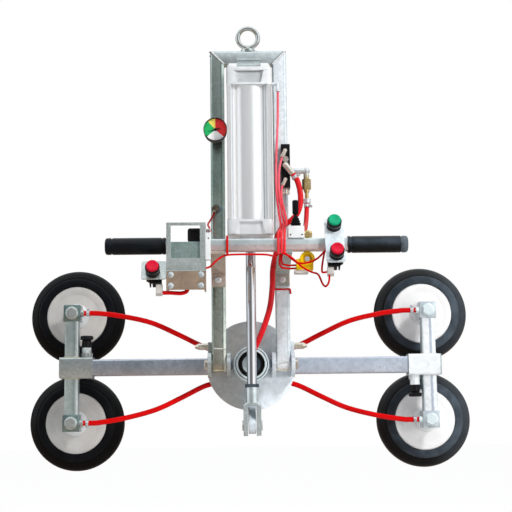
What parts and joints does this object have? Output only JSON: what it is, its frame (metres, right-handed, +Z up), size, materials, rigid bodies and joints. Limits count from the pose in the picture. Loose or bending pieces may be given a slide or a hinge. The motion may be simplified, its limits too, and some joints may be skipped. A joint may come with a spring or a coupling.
{
  "type": "pneumatic suction lifter",
  "caption": "Pneumatic vacuum lifter: a mast hung on an eye, a cylinder that tilts a round plate, and a turning arm with sliding sleeves that carry rubber suction pads",
  "frame": {"origin": "centre of the lifting eye's ring on top of the mast, where the lifter hangs", "axes": "+Z up along the mast, +X to the right along the arm as the operator at the handlebar sees it, +Y away from the operator, the way the pads face at rest"},
  "size_m": [0.982, 0.3941, 0.963],
  "materials": {
    "galvanised_steel": "hot-dip galvanised, dull with faint spangle",
    "zinc_steel": "zinc plated, slightly bluish",
    "nickel": "nickel plated fittings",
    "anodised_alloy": "clear anodised, satin",
    "chromed_rod": "hard chromed and polished",
    "piston_alloy": "turned",
    "black_rubber": "matt black",
    "black_plastic": "moulded, matt",
    "brass": "turned, slightly dulled",
    "white_plastic": "moulded, satin",
    "dial_face": "printed",
    "lens": "clear",
    "yellow_plastic": "moulded, glossy",
    "green_cap": "moulded, glossy",
    "red_cap": "moulded, glossy",
    "red_hose": "polyurethane, smooth",
    "white_enamel": "stove enamelled"
  },
  "bodies": {
    "mast": {"leg_left": "galvanised_steel", "leg_right": "galvanised_steel", "mast_head": "galvanised_steel", "lifting_eye": "zinc_steel", "frame_bolts": "zinc_steel", "handle_brackets": "galvanised_steel", "handlebar": "galvanised_steel", "grips": "black_rubber", "gauge_case": "black_plastic", "gauge_dial": "dial_face", "gauge_lens": "lens", "ejector_block": "black_plastic", "ejector_fittings": "nickel", "inlet_valve": "brass", "lever_valve": "white_plastic", "valve_boot": "black_rubber", "alarm_horn": "yellow_plastic", "button_brackets": "galvanised_steel", "button_collars": "black_plastic", "button_valves": "black_plastic", "control_housing": "galvanised_steel", "vacuum_switch": "white_plastic", "hose_main": "red_hose", "hose_supply": "red_hose", "air_tubes": "red_hose"},
    "barrel": {"cylinder_barrel": "anodised_alloy", "cylinder_caps": "anodised_alloy", "rear_clevis": "anodised_alloy", "clevis_pin": "zinc_steel", "cylinder_fittings": "nickel"},
    "rod": {"piston_rod": "chromed_rod", "piston": "piston_alloy", "rod_fork": "galvanised_steel", "fork_pin": "zinc_steel"},
    "tilt_frame": {"tilt_plate": "galvanised_steel", "pivot_ears": "galvanised_steel", "pivot_bolts": "zinc_steel", "hub_housing": "galvanised_steel", "hub_bearing": "black_rubber", "tilt_lever": "galvanised_steel"},
    "head": {"rotor_hub": "galvanised_steel", "arm_beam": "galvanised_steel", "manifold": "galvanised_steel", "hoses_left": "red_hose", "hoses_right": "red_hose"},
    "arm_left": {"sleeve_left": "galvanised_steel", "pad_mounts_left": "zinc_steel", "pad_plates_left": "white_enamel", "pads_left": "black_rubber"},
    "arm_right": {"sleeve_right": "galvanised_steel", "pad_mounts_right": "zinc_steel", "pad_plates_right": "white_enamel", "pads_right": "black_rubber"},
    "lock_left": {"plunger_left": "black_plastic"},
    "lock_right": {"plunger_right": "black_plastic"},
    "hand_lever": {"valve_lever": "black_plastic"},
    "cap_green": {"button_green": "green_cap"},
    "cap_red": {"button_red": "red_cap"},
    "cap_release": {"button_release": "red_cap"},
    "needle": {"gauge_needle": "black_plastic"}
  },
  "joints": [
    {"name": "tilt", "type": "hinge", "parent": "mast", "child": "tilt_frame", "pos_m": [0, 0, -0.713], "axis": [-1, 0, 0], "range_deg": [0, 90], "deforming": ["hose_main"]},
    {"name": "cylinder_swing", "type": "hinge", "parent": "mast", "child": "barrel", "pos_m": [0, -0.06, -0.086], "axis": [-1, 0, 0], "range_deg": [0, 6.75], "deforming": ["air_tubes"]},
    {"name": "rod_slide", "type": "slide", "parent": "barrel", "child": "rod", "axis": [0, 0, 1], "range_m": [0, 0.1832]},
    {"name": "head_turn", "type": "hinge", "parent": "tilt_frame", "child": "head", "pos_m": [0, 0.04, -0.713], "axis": [0, 1, 0], "continuous": true},
    {"name": "arm_slide_left", "type": "slide", "parent": "head", "child": "arm_left", "axis": [1, 0, 0], "range_m": [0, 0.12], "deforming": ["hoses_left"]},
    {"name": "arm_slide_right", "type": "slide", "parent": "head", "child": "arm_right", "axis": [-1, 0, 0], "range_m": [0, 0.12], "deforming": ["hoses_right"]},
    {"name": "plunger_pull_left", "type": "slide", "parent": "arm_left", "child": "lock_left", "axis": [0, 0, 1], "range_m": [0, 0.006], "stiffness_N_per_m": 900, "springref_m": -0.01},
    {"name": "plunger_pull_right", "type": "slide", "parent": "arm_right", "child": "lock_right", "axis": [0, 0, -1], "range_m": [0, 0.006], "stiffness_N_per_m": 900, "springref_m": -0.01},
    {"name": "valve_lever_swing", "type": "hinge", "parent": "mast", "child": "hand_lever", "pos_m": [0.0905, -0.14, -0.441], "axis": [1, 0, 0], "range_deg": [-15, 15], "deforming": ["valve_boot"]},
    {"name": "push_green", "type": "slide", "parent": "mast", "child": "cap_green", "axis": [0, 0.8988, -0.4384], "range_m": [0, 0.004], "stiffness_N_per_m": 1500, "springref_m": -0.002},
    {"name": "push_red", "type": "slide", "parent": "mast", "child": "cap_red", "axis": [0, 0.8988, -0.4384], "range_m": [0, 0.004], "stiffness_N_per_m": 1500, "springref_m": -0.002},
    {"name": "push_release", "type": "slide", "parent": "mast", "child": "cap_release", "axis": [0, 0.8988, -0.4384], "range_m": [0, 0.004], "stiffness_N_per_m": 1500, "springref_m": -0.002},
    {"name": "gauge_needle_turn", "type": "hinge", "parent": "mast", "child": "needle", "pos_m": [-0.0715, -0.07, -0.223], "axis": [0, 1, 0], "range_deg": [-30, 240]}
  ],
  "couplings": [
    {"joint": "cylinder_swing", "follows": "tilt", "ratio": 0.0749},
    {"joint": "rod_slide", "follows": "tilt", "m_per_rad": 0.11657}
  ]
}
